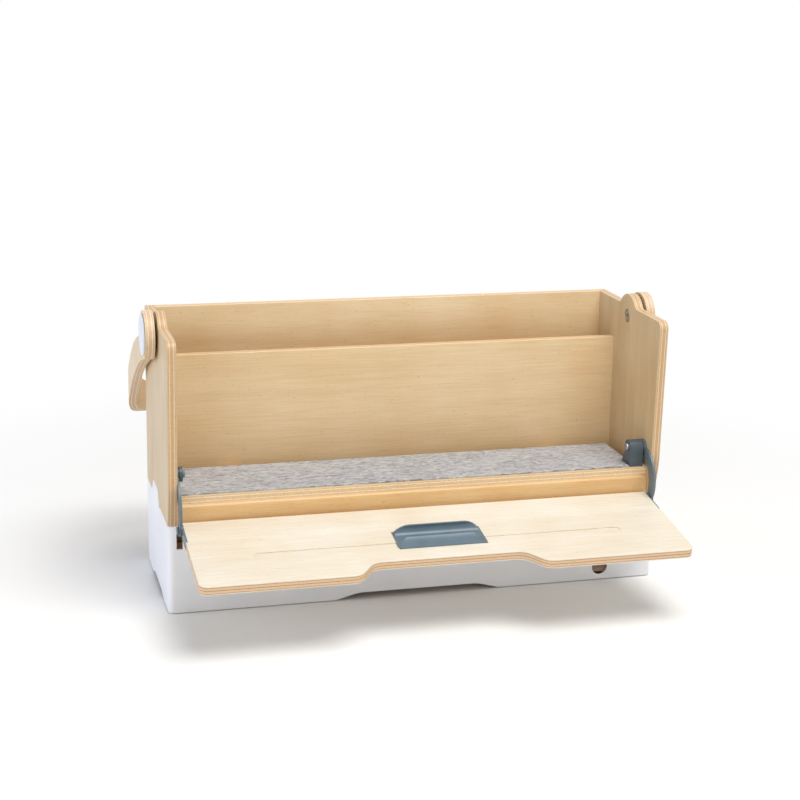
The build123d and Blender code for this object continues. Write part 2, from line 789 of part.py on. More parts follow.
def handle_bolt():
    """Bolt from inside the case through the panel and spacer into the cap's sleeve."""
    head_start = panel_inner + counterbore_depth - handle_bolt_head_height
    seat = panel_inner + counterbore_depth
    head = rod_x(head_start, seat, handle_y, handle_height, handle_bolt_head / 2)
    head = fillet(head.edges().group_by(Axis.X)[0], edge_ease)
    hexagon = Pos(handle_y, handle_height) * RegularPolygon(hex_socket_width / 2, 6)
    head -= bar_x(head_start, head_start + handle_bolt_head_height / 2, hexagon)
    end = handle_inner - running_gap + handle_bolt_engagement
    return head + rod_x(seat, end, handle_y, handle_height, handle_bolt_diameter / 2)


def right_and_left(name, solid):
    """Two nodes, one for the piece on the right and one for its mirror image on the left."""
    right, left = both_sides(solid)
    return {name + "_right": right, name + "_left": left}


nodes = {
    "base_shell": base_shell(),
    "base_back_plate": base_back(),
    "base_floor_board": floor_board(),
    "base_feet": feet(),
    "base_screws": base_screws(),
    "back_panel": cross_board(back_front, rear, base_height, case_height),
    "divider": cross_board(divider_front, divider_rear, base_height, divider_height),
    "front_board": cross_board(fascia_front, fascia_front + ply, base_height, shelf_bottom, fascia_round),
    "panel_dowels": dowels(0),
    "shelf_board": shelf_board(),
    "shelf_felt": felt_mat(),
    "shelf_screws": shelf_screws(),
    "bracket_screws": bracket_screws(),
    "hinge_bracket": hinge_bracket(),
    "hinge_boss": mirror(round_boss(), about=Plane.YZ),
    "arm_bolt_right": arm_bolt(bracket_inner),
    "arm_bolt_left": mirror(arm_bolt(boss_inner), about=Plane.YZ),
    "flap_board": flap_board(),
    "laptop_stopper": laptop_stopper(),
    "flap_pins": flap_pins(),
    "leaf_screws": leaf_screws(),
    "handle_band": handle_band(),
    "handle_spacers": both_sides(handle_spacer()),
}
nodes.update(right_and_left("side_panel", side_panel()))
nodes.update(right_and_left("shelf_rib", shelf_rib()))
nodes.update(right_and_left("hinge_arm", hinge_arm()))
nodes.update(right_and_left("flap_leaf", flap_leaf()))
nodes.update(right_and_left("handle_cap", handle_cap()))
nodes.update(right_and_left("handle_bolt", handle_bolt()))

os.makedirs("parts", exist_ok=True)
for name, shape in nodes.items():
    solid = Compound(children=shape) if isinstance(shape, list) else shape
    export_step(solid, "parts/" + name + ".step")
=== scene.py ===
import logging
import math
from dataclasses import dataclass
from enum import Enum

import bmesh
import bpy
from mathutils import Matrix, Vector, noise


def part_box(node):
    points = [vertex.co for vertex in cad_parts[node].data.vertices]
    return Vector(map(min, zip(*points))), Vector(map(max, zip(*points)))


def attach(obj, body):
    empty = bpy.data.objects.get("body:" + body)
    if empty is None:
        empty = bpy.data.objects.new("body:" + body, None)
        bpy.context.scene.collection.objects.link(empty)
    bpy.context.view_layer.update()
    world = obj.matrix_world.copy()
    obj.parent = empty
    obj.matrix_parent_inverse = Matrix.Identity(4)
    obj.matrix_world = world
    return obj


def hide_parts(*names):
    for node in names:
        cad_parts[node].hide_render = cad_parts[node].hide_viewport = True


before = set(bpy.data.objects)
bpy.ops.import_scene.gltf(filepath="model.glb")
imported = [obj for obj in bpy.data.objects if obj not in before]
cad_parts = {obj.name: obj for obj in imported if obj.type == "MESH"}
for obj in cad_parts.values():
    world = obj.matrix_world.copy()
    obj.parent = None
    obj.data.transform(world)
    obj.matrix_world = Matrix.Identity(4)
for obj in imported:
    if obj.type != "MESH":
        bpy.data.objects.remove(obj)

MM = 0.001
FLAP_SLOPE = math.radians(8.67)
WHITE = (1.0, 1.0, 1.0, 1.0)
LOG = logging.getLogger("workstation_case")


def linear(code: str) -> tuple[float, float, float, float]:
    """Turns an sRGB hex value to linear colour.

    Args:
        code: Colour as "#RRGGBB".

    Returns:
        Linear red, green and blue, with an alpha of 1.
    """
    parts = [int(code[start:start + 2], 16) / 255 for start in (1, 3, 5)]
    red, green, blue = [p / 12.92 if p <= 0.04045 else ((p + 0.055) / 1.055) ** 2.4 for p in parts]
    return red, green, blue, 1.0


def add_node(tree: bpy.types.NodeTree, kind: str, inputs: dict | None = None,
             stops: list[tuple[float, tuple[float, ...]]] | None = None,
             **settings: object) -> bpy.types.Node:
    """Adds one node with its settings and links.

    Args:
        tree: Node tree that gets the node.
        kind: Blender's name of the node type.
        inputs: Socket name or number to a value, or to the socket that feeds it.
        stops: Position and linear colour of each stop of a colour ramp, in rising order.
        **settings: Properties of the node itself.

    Returns:
        The new node.
    """
    made = tree.nodes.new(kind)
    for name, value in settings.items():
        setattr(made, name, value)
    for key, value in (inputs or {}).items():
        if isinstance(value, bpy.types.NodeSocket):
            tree.links.new(value, made.inputs[key])
        else:
            made.inputs[key].default_value = value
    if stops:
        elements = made.color_ramp.elements
        while len(elements) < len(stops):
            elements.new(0.5)
        for element, (position, colour) in zip(elements, stops):
            element.position = position
            element.color = colour
    return made


def new_material(name: str) -> tuple[bpy.types.Material, bpy.types.NodeTree, bpy.types.NodeSocket]:
    """Starts a material.

    Args:
        name: Name of the material.

    Returns:
        The material, its empty node tree and the Object coordinates that its patterns read.
    """
    material = bpy.data.materials.new(name)
    material.use_nodes = True
    tree = material.node_tree
    tree.nodes.clear()
    return material, tree, add_node(tree, "ShaderNodeTexCoord").outputs["Object"]


def finish_material(tree: bpy.types.NodeTree, inputs: dict, relief: bpy.types.NodeSocket,
                    depth_mm: float, strength: float) -> None:
    """Ends a material with its relief and a Principled shader.

    Args:
        tree: Node tree of the material.
        inputs: Values and sockets for the shader.
        relief: Height of the surface, from 0 to 1.
        depth_mm: What a height of 1 is in millimetres.
        strength: Share of the relief that shows.
    """
    normal = add_node(tree, "ShaderNodeBump", {"Height": relief, "Distance": depth_mm * MM,
                                               "Strength": strength})
    shader = add_node(tree, "ShaderNodeBsdfPrincipled", {**inputs, "Normal": normal.outputs[0]})
    add_node(tree, "ShaderNodeOutputMaterial", {"Surface": shader.outputs[0]})


def stretched_noise(tree: bpy.types.NodeTree, place: bpy.types.NodeSocket,
                    grain_mm: tuple[float, float, float], detail: float = 2.0,
                    distortion: float = 0.0) -> bpy.types.NodeSocket:
    """Noise whose cells have a real size along each axis.

    Args:
        tree: Node tree of the material.
        place: Coordinates in metres.
        grain_mm: Length of a cell along X, Y and Z in millimetres.
        detail: Finer octaves that are added.
        distortion: How far the cells wander.

    Returns:
        The noise, about 0.5 on average.
    """
    scale = tuple(1 / (size * MM) for size in grain_mm)
    mapped = add_node(tree, "ShaderNodeMapping", {"Vector": place, "Scale": scale}).outputs[0]
    made = add_node(tree, "ShaderNodeTexNoise", {"Vector": mapped, "Scale": 1.0, "Detail": detail,
                                                 "Distortion": distortion})
    return made.outputs["Fac"]


class Layers(Enum):
    """Direction in which the layers of a plywood sheet are stacked.

    FLAP is square to the open flap. BENT_BAND follows the bent band, so it has no direction of its own.
    """

    ACROSS_X = (1.0, 0.0, 0.0)
    ACROSS_Y = (0.0, 1.0, 0.0)
    ACROSS_Z = (0.0, 0.0, 1.0)
    FLAP = (0.0, -math.sin(FLAP_SLOPE), math.cos(FLAP_SLOPE))
    BENT_BAND = (0.0, 0.0, 0.0)


class Grain(Enum):
    """Axes along which the grain of the face veneer runs, each marked with a 1."""

    ALONG_X = (1.0, 0.0, 0.0)
    ALONG_Y = (0.0, 1.0, 0.0)
    ALONG_Z = (0.0, 0.0, 1.0)
    ALONG_XY = (1.0, 1.0, 0.0)


@dataclass(frozen=True)
class BirchPlywood:
    """Lacquered birch plywood. Faces show faint long figure, and sawn edges show five thin layers.

    Attributes:
        name: Name of the material.
        layers: Direction in which the layers are stacked.
        middle: Place of the sheet's middle along that direction, in metres.
        grain: Direction of the face grain.
        light: Colour of the pale wood.
        dark: Colour of the figure in it.
        mirrored: Whether the sheet has a twin at the same distance on the other side.
        thickness: Thickness of the sheet.
        layer_light: Colour of the pale layers in a sawn edge.
        layer_dark: Colour of the deep layers, whose grain faces out.
        glue: Colour of the lines between the layers.
        core_share: Half the middle layer, as a share of half the thickness.
        veneer: Shares of half the thickness between which the face veneer takes over.
        bend_centre: Centre of the right one of the bent band's two bends.
        bend_radius: Outer radius of those bends.
        figure_mm: Length and width of the figure's cells.
        fibre_mm: Length and width of the fibres, drawn coarser than real ones so that they show.
        pore_mm: Length and width of the short dark pores.
        cloud_mm: Size of the soft changes of tone.
        fleck_mm: Size of the flecks in a sawn edge.
        ripple_mm: Length of the layers' slight waves.
        waver: Height of those waves, as a share of half the thickness.
        roughness: Least and greatest roughness of the lacquer.
        relief_mm: Depth of the fibres.
    """

    name: str
    layers: Layers
    middle: float
    grain: Grain
    light: str = "#EFD8B1"
    dark: str = "#E9CEA5"
    mirrored: bool = False
    thickness: float = 8 * MM
    layer_light: str = "#F0D6AE"
    layer_dark: str = "#DDB98F"
    glue: str = "#C59D76"
    core_share: float = 0.22
    veneer: tuple[float, float] = (0.72, 0.79)
    bend_centre: tuple[float, float, float] = (0.0, 0.0, 0.0)
    bend_radius: float = 0.0
    figure_mm: tuple[float, float] = (260.0, 26.0)
    fibre_mm: tuple[float, float] = (30.0, 0.9)
    pore_mm: tuple[float, float] = (5.0, 0.55)
    cloud_mm: float = 70.0
    fleck_mm: float = 0.9
    ripple_mm: float = 9.0
    waver: float = 0.015
    roughness: tuple[float, float] = (0.38, 0.5)
    relief_mm: float = 0.05

    def depth_from_middle(self, tree: bpy.types.NodeTree,
                          place: bpy.types.NodeSocket) -> bpy.types.NodeSocket:
        """Distance from the sheet's middle, in metres.

        Args:
            tree: Node tree of the material.
            place: Object coordinates.

        Returns:
            The distance, from 0 to half the thickness.
        """
        if self.layers is Layers.BENT_BAND:
            return self.depth_in_band(tree, place)
        if self.mirrored:
            place = add_node(tree, "ShaderNodeVectorMath", {0: place}, operation="ABSOLUTE").outputs[0]
        along = add_node(tree, "ShaderNodeVectorMath", {0: place, 1: self.layers.value},
                         operation="DOT_PRODUCT")
        offset = add_node(tree, "ShaderNodeMath", {0: along.outputs["Value"], 1: self.middle},
                          operation="SUBTRACT")
        return add_node(tree, "ShaderNodeMath", {0: offset.outputs[0]}, operation="ABSOLUTE").outputs[0]

    def depth_in_band(self, tree: bpy.types.NodeTree, place: bpy.types.NodeSocket) -> bpy.types.NodeSocket:
        """Distance from the middle of the bent band, which follows its two arms, corners and cross bar.

        Args:
            tree: Node tree of the material.
            place: Object coordinates.

        Returns:
            The distance, from 0 to half the thickness.
        """
        folded = add_node(tree, "ShaderNodeVectorMath", {0: place, 1: (1.0, 0.0, 0.0)}, operation="MULTIPLY")
        folded = add_node(tree, "ShaderNodeVectorMath", {0: folded.outputs[0]}, operation="ABSOLUTE")
        deep = add_node(tree, "ShaderNodeVectorMath", {0: place, 1: (0.0, 1.0, 0.0)}, operation="MULTIPLY")
        plan = add_node(tree, "ShaderNodeVectorMath", {0: folded.outputs[0], 1: deep.outputs[0]},
                        operation="ADD")
        corner = add_node(tree, "ShaderNodeVectorMath", {0: plan.outputs[0], 1: self.bend_centre},
                          operation="SUBTRACT")
        outside = add_node(tree, "ShaderNodeVectorMath", {0: corner.outputs[0], 1: (0.0, 0.0, 0.0)},
                           operation="MAXIMUM")
        length = add_node(tree, "ShaderNodeVectorMath", {0: outside.outputs[0]}, operation="LENGTH")
        middle = self.bend_radius - self.thickness / 2
        offset = add_node(tree, "ShaderNodeMath", {0: length.outputs["Value"], 1: middle},
                          operation="SUBTRACT")
        return add_node(tree, "ShaderNodeMath", {0: offset.outputs[0]}, operation="ABSOLUTE").outputs[0]

    def cells(self, along_mm: float, across_mm: float) -> tuple[float, float, float]:
        """Size of a grain cell on the three axes.

        Args:
            along_mm: Its length along the grain.
            across_mm: Its width across the grain.

        Returns:
            Its size along X, Y and Z.
        """
        return tuple(along_mm if way else across_mm for way in self.grain.value)

    def share_from_middle(self, tree: bpy.types.NodeTree,
                          place: bpy.types.NodeSocket) -> bpy.types.NodeSocket:
        """Distance from the sheet's middle as a share of half its thickness, with a slight waver.

        Args:
            tree: Node tree of the material.
            place: Object coordinates.

        Returns:
            The share, from 0 in the middle to 1 on the face.
        """
        depth = self.depth_from_middle(tree, place)
        share = add_node(tree, "ShaderNodeMath", {0: depth, 1: self.thickness / 2}, operation="DIVIDE")
        ripple = stretched_noise(tree, place, (self.ripple_mm,) * 3, 1.0)
        wander = add_node(tree, "ShaderNodeMath", {0: ripple, 1: 2 * self.waver, 2: -self.waver},
                          operation="MULTIPLY_ADD")
        return add_node(tree, "ShaderNodeMath", {0: share.outputs[0], 1: wander.outputs[0]},
                        operation="ADD").outputs[0]

    def face_colour(self, tree: bpy.types.NodeTree, place: bpy.types.NodeSocket,
                    fibre: bpy.types.NodeSocket) -> bpy.types.NodeSocket:
        """Colour of the face veneer, with its figure, fibres, pores and soft changes of tone.

        Args:
            tree: Node tree of the material.
            place: Object coordinates.
            fibre: Noise of the fibres.

        Returns:
            The colour.
        """
        figure = stretched_noise(tree, place, self.cells(*self.figure_mm), 3.0, 0.9)
        pores = stretched_noise(tree, place, self.cells(*self.pore_mm), 1.0)
        clouds = stretched_noise(tree, place, (self.cloud_mm,) * 3, 2.0)
        colour = add_node(tree, "ShaderNodeValToRGB", {"Fac": figure},
                          [(0.34, linear(self.dark)), (0.64, linear(self.light))]).outputs["Color"]
        for pattern, low, high, tint in ((fibre, 0.3, 0.6, "#F8F3EB"), (clouds, 0.3, 0.7, "#F8F1E6"),
                                         (pores, 0.22, 0.32, "#E4D3BA")):
            tone = add_node(tree, "ShaderNodeValToRGB", {"Fac": pattern},
                            [(low, linear(tint)), (high, WHITE)])
            colour = add_node(tree, "ShaderNodeMix", {0: 1.0, 6: colour, 7: tone.outputs["Color"]},
                              data_type="RGBA", blend_type="MULTIPLY").outputs[2]
        return colour

    def edge_colour(self, tree: bpy.types.NodeTree, place: bpy.types.NodeSocket,
                    share: bpy.types.NodeSocket) -> bpy.types.NodeSocket:
        """Colour of a sawn edge, whose layers are parted by thin lines of glue.

        Args:
            tree: Node tree of the material.
            place: Object coordinates.
            share: Distance from the sheet's middle, as a share of half its thickness.

        Returns:
            The colour.
        """
        pale, deep, glue = linear(self.layer_light), linear(self.layer_dark), linear(self.glue)
        core = self.core_share
        layers = add_node(tree, "ShaderNodeValToRGB", {"Fac": share},
                          [(0.0, deep), (core, deep), (core + 0.05, glue), (core + 0.09, pale), (0.56, pale),
                           (0.61, glue), (0.7, deep), (0.8, pale)])
        flecks = stretched_noise(tree, place, (self.fleck_mm,) * 3, 2.0)
        tone = add_node(tree, "ShaderNodeValToRGB", {"Fac": flecks}, [(0.3, linear("#EFE6DC")), (0.6, WHITE)])
        colours = {6: layers.outputs["Color"], 7: tone.outputs["Color"]}
        return add_node(tree, "ShaderNodeMix", {0: 1.0, **colours}, data_type="RGBA",
                        blend_type="MULTIPLY").outputs[2]

    def build(self) -> bpy.types.Material:
        """Makes the material.

        Returns:
            The material, ready for a node.
        """
        material, tree, place = new_material(self.name)
        fibre = stretched_noise(tree, place, self.cells(*self.fibre_mm), 2.0)
        face = self.face_colour(tree, place, fibre)
        share = self.share_from_middle(tree, place)
        edge = self.edge_colour(tree, place, share)
        start, full = self.veneer
        outer = add_node(tree, "ShaderNodeValToRGB", {"Fac": share},
                         [(start, (0.0, 0.0, 0.0, 1.0)), (full, WHITE)]).outputs["Color"]
        colour = add_node(tree, "ShaderNodeMix", {0: outer, 6: edge, 7: face}, data_type="RGBA").outputs[2]
        least, most = self.roughness
        rough = add_node(tree, "ShaderNodeMapRange", {"Value": fibre, "To Min": most, "To Max": least})
        finish_material(tree, {"Base Color": colour, "Roughness": rough.outputs[0]}, fibre,
                        self.relief_mm, 0.5)
        return material


@dataclass(frozen=True)
class PowderCoat:
    """White powder coat, baked on sheet steel. It gives a soft even sheen with a very fine orange peel.

    Attributes:
        name: Name of the material.
        colour: Main colour.
        shade: Second colour, in soft clouds.
        roughness: Least and greatest roughness.
        peel_mm: Size of the orange peel.
        cloud_mm: Size of the clouds.
        relief_mm: Depth of the orange peel.
    """

    name: str = "powder_coated_steel"
    colour: str = "#F3F4F7"
    shade: str = "#EEEFF3"
    roughness: tuple[float, float] = (0.38, 0.5)
    peel_mm: float = 1.6
    cloud_mm: float = 60.0
    relief_mm: float = 0.04

    def build(self) -> bpy.types.Material:
        """Makes the material.

        Returns:
            The material, ready for a node.
        """
        material, tree, place = new_material(self.name)
        peel = stretched_noise(tree, place, (self.peel_mm,) * 3, 2.0)
        clouds = stretched_noise(tree, place, (self.cloud_mm,) * 3, 2.0)
        colour = add_node(tree, "ShaderNodeValToRGB", {"Fac": clouds},
                          [(0.35, linear(self.shade)), (0.65, linear(self.colour))]).outputs["Color"]
        least, most = self.roughness
        rough = add_node(tree, "ShaderNodeMapRange", {"Value": peel, "To Min": least, "To Max": most})
        finish_material(tree, {"Base Color": colour, "Roughness": rough.outputs[0]}, peel,
                        self.relief_mm, 0.6)
        return material


@dataclass(frozen=True)
class SatinPaint:
    """Satin stoving paint on steel or die-cast zinc. It gives a calm blue-grey with a soft sheen.

    Attributes:
        name: Name of the material.
        colour: Main colour.
        shade: Second colour, in soft clouds.
        roughness: Least and greatest roughness.
        peel_mm: Size of the orange peel.
        cloud_mm: Size of the clouds.
        relief_mm: Depth of the orange peel.
    """

    name: str = "blue_grey_stoved_paint"
    colour: str = "#6C7B84"
    shade: str = "#616F78"
    roughness: tuple[float, float] = (0.32, 0.45)
    peel_mm: float = 0.9
    cloud_mm: float = 14.0
    relief_mm: float = 0.02

    def build(self) -> bpy.types.Material:
        """Makes the material.

        Returns:
            The material, ready for a node.
        """
        material, tree, place = new_material(self.name)
        peel = stretched_noise(tree, place, (self.peel_mm,) * 3, 2.0)
        clouds = stretched_noise(tree, place, (self.cloud_mm,) * 3, 3.0)
        colour = add_node(tree, "ShaderNodeValToRGB", {"Fac": clouds},
                          [(0.35, linear(self.shade)), (0.65, linear(self.colour))]).outputs["Color"]
        least, most = self.roughness
        rough = add_node(tree, "ShaderNodeMapRange", {"Value": peel, "To Min": least, "To Max": most})
        finish_material(tree, {"Base Color": colour, "Roughness": rough.outputs[0]}, peel,
                        self.relief_mm, 0.5)
        return material


@dataclass(frozen=True)
class ZincPlate:
    """Zinc-plated steel, turned and tumbled. It gives a bright grey metal with fine soft scratches.

    Attributes:
        name: Name of the material.
        colour: Main colour.
        shade: Second colour, in the scratches.
        roughness: Least and greatest roughness.
        scratch_mm: Size of a scratch along X, Y and Z.
        relief_mm: Depth of the scratches.
    """

    name: str = "zinc_plated_steel"
    colour: str = "#B9BBBD"
    shade: str = "#9C9EA2"
    roughness: tuple[float, float] = (0.28, 0.45)
    scratch_mm: tuple[float, float, float] = (0.4, 3.0, 3.0)
    relief_mm: float = 0.01

    def build(self) -> bpy.types.Material:
        """Makes the material.

        Returns:
            The material, ready for a node.
        """
        material, tree, place = new_material(self.name)
        scratches = stretched_noise(tree, place, self.scratch_mm, 3.0)
        colour = add_node(tree, "ShaderNodeValToRGB", {"Fac": scratches},
                          [(0.35, linear(self.shade)), (0.65, linear(self.colour))]).outputs["Color"]
        least, most = self.roughness
        rough = add_node(tree, "ShaderNodeMapRange", {"Value": scratches, "To Min": least, "To Max": most})
        finish_material(tree, {"Base Color": colour, "Roughness": rough.outputs[0], "Metallic": 1.0},
                        scratches, self.relief_mm, 0.4)
        return material


@dataclass(frozen=True)
class FineGrained:
    """Moulded plastic, rubber or turned wood. It gives one even colour whose fine grain breaks up the gloss.

    Attributes:
        name: Name of the material.
        colour: Main colour.
        shade: Second colour, in soft clouds.
        roughness: Least and greatest roughness.
        grain_mm: Size of the grain.
        cloud_mm: Size of the clouds.
        relief_mm: Depth of the grain.
    """

    name: str
    colour: str
    shade: str
    roughness: tuple[float, float]
    grain_mm: float = 0.8
    cloud_mm: float = 20.0
    relief_mm: float = 0.02

    def build(self) -> bpy.types.Material:
        """Makes the material.

        Returns:
            The material, ready for a node.
        """
        material, tree, place = new_material(self.name)
        grain = stretched_noise(tree, place, (self.grain_mm,) * 3, 1.0)
        clouds = stretched_noise(tree, place, (self.cloud_mm,) * 3, 1.0)
        colour = add_node(tree, "ShaderNodeValToRGB", {"Fac": clouds},
                          [(0.3, linear(self.shade)), (0.7, linear(self.colour))]).outputs["Color"]
        least, most = self.roughness
        rough = add_node(tree, "ShaderNodeMapRange", {"Value": grain, "To Min": least, "To Max": most})
        finish_material(tree, {"Base Color": colour, "Roughness": rough.outputs[0]}, grain,
                        self.relief_mm, 0.4)
        return material


@dataclass(frozen=True)
class WoolFelt:
    """Pressed wool felt. It gives a soft mottled grey, with short dark fibres mostly along the shelf.

    Attributes:
        name: Name of the material.
        colour: Main colour.
        fibre: Colour of the darker fibres.
        pale: Colour of the palest wool.
        streak_mm: Size of a tuft of fibres along X, Y and Z.
        wisp_mm: Size of the thin dark wisps between them.
        fuzz_mm: Size of the loose ends that roughen the surface.
        relief_mm: Depth of that fuzz.
    """

    name: str = "pressed_wool_felt"
    colour: str = "#B6B6B9"
    fibre: str = "#89888E"
    pale: str = "#D3D3D6"
    streak_mm: tuple[float, float, float] = (9.0, 2.4, 2.4)
    wisp_mm: tuple[float, float, float] = (5.5, 1.1, 1.1)
    fuzz_mm: tuple[float, float, float] = (0.9, 0.7, 0.7)
    relief_mm: float = 0.5

    def build(self) -> bpy.types.Material:
        """Makes the material.

        Returns:
            The material, ready for a node.
        """
        material, tree, place = new_material(self.name)
        streaks = stretched_noise(tree, place, self.streak_mm, 4.0, 1.4)
        wisps = stretched_noise(tree, place, self.wisp_mm, 3.0, 2.2)
        fuzz = stretched_noise(tree, place, self.fuzz_mm, 3.0)
        wool = add_node(tree, "ShaderNodeValToRGB", {"Fac": streaks},
                        [(0.36, linear(self.fibre)), (0.5, linear(self.colour)), (0.72, linear(self.pale))])
        dark = add_node(tree, "ShaderNodeValToRGB", {"Fac": wisps}, [(0.3, linear("#B0ADB0")), (0.44, WHITE)])
        colour = add_node(tree, "ShaderNodeMix", {0: 0.8, 6: wool.outputs["Color"], 7: dark.outputs["Color"]},
                          data_type="RGBA", blend_type="MULTIPLY").outputs[2]
        finish_material(tree, {"Base Color": colour, "Roughness": 0.95, "Specular IOR Level": 0.15,
                               "Sheen Weight": 0.25, "Sheen Roughness": 0.5}, fuzz, self.relief_mm, 0.7)
        return material


def middle_of(node: str, axis: int) -> float:
    """Middle of a CAD node's box along one axis.

    Args:
        node: Name of the node.
        axis: 0, 1 or 2 for X, Y or Z.

    Returns:
        The place in metres.
    """
    low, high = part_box(node)
    return (low[axis] + high[axis]) / 2


def dress(material: bpy.types.Material, *names: str) -> None:
    """Gives CAD nodes a material and reports them.

    Args:
        material: Material that they get.
        *names: Names of the nodes.
    """
    for name in names:
        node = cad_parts[name]
        if node.material_slots:
            for slot in node.material_slots:
                slot.material = material
        else:
            node.data.materials.append(material)
        LOG.info("dressed %s in %s", name, material.name)


def add_piece(name: str, shape: bmesh.types.BMesh, material: bpy.types.Material, body: str) -> bpy.types.Object:
    """Makes an object of a finished bmesh and hangs it on a body.

    Args:
        name: Name of the piece.
        shape: Its bmesh, which is freed.
        material: Its material.
        body: CAD body that it rides on.

    Returns:
        The new object.
    """
    mesh = bpy.data.meshes.new(name)
    shape.to_mesh(mesh)
    shape.free()
    mesh.materials.append(material)
    piece = bpy.data.objects.new(name, mesh)
    bpy.context.scene.collection.objects.link(piece)
    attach(piece, body)
    LOG.info("built %s with %d faces on %s", name, len(mesh.polygons), body)
    return piece


@dataclass
class SteelBase:
    """Folded steel base with its floor board, feet and screws.

    Attributes:
        coat: Finish of the folded steel.
        rubber: Finish of the feet.
        plating: Finish of the screws.
    """

    coat: PowderCoat = PowderCoat()
    rubber: FineGrained = FineGrained("moulded_rubber", "#2B2B2C", "#232324", (0.7, 0.85), 1.2)
    plating: ZincPlate = ZincPlate()

    def build(self) -> None:
        """Dresses the base."""
        dress(self.coat.build(), "base_shell", "base_back_plate")
        # The sawn edge of this board shows brown through the round hole. Its colours are darkened well below
        # the other birch, as painted shade inside the base.
        board = BirchPlywood("birch_floor_board_painted_shade", Layers.ACROSS_Z, middle_of("base_floor_board", 2),
                             Grain.ALONG_X, light="#C9AE88", dark="#BFA27C", layer_light="#A88C79",
                             layer_dark="#92776A", glue="#7D6457")
        dress(board.build(), "base_floor_board")
        dress(self.rubber.build(), "base_feet")
        dress(self.plating.build(), "base_screws", "shelf_screws", "bracket_screws")


@dataclass
class PlywoodCase:
    """Side panels, back panel, divider, front board and ribs, with their dowels.

    Attributes:
        beech: Finish of the turned dowels.
    """

    beech: FineGrained = FineGrained("beech_dowel", "#D9B98C", "#CFAA78", (0.55, 0.7), 1.5)

    def build(self) -> None:
        """Dresses the wooden case."""
        sides = BirchPlywood("birch_side_panels", Layers.ACROSS_X, middle_of("side_panel_right", 0),
                             Grain.ALONG_Z, mirrored=True, light="#DAC6A4", dark="#D0B995",
                             layer_light="#E6CCA5", layer_dark="#CFAA80", glue="#B98F69")
        dress(sides.build(), "side_panel_left", "side_panel_right")
        back = BirchPlywood("birch_back_panel", Layers.ACROSS_Y, middle_of("back_panel", 1), Grain.ALONG_X)
        dress(back.build(), "back_panel")
        divider = BirchPlywood("birch_divider", Layers.ACROSS_Y, middle_of("divider", 1), Grain.ALONG_X)
        dress(divider.build(), "divider")
        front = BirchPlywood("birch_front_board", Layers.ACROSS_Y, middle_of("front_board", 1), Grain.ALONG_X,
                             light="#EFCB96", dark="#E5BE88")
        dress(front.build(), "front_board")
        ribs = BirchPlywood("birch_ribs", Layers.ACROSS_X, middle_of("shelf_rib_right", 0), Grain.ALONG_Y,
                            mirrored=True)
        dress(ribs.build(), "shelf_rib_left", "shelf_rib_right")
        dress(self.beech.build(), "panel_dowels")


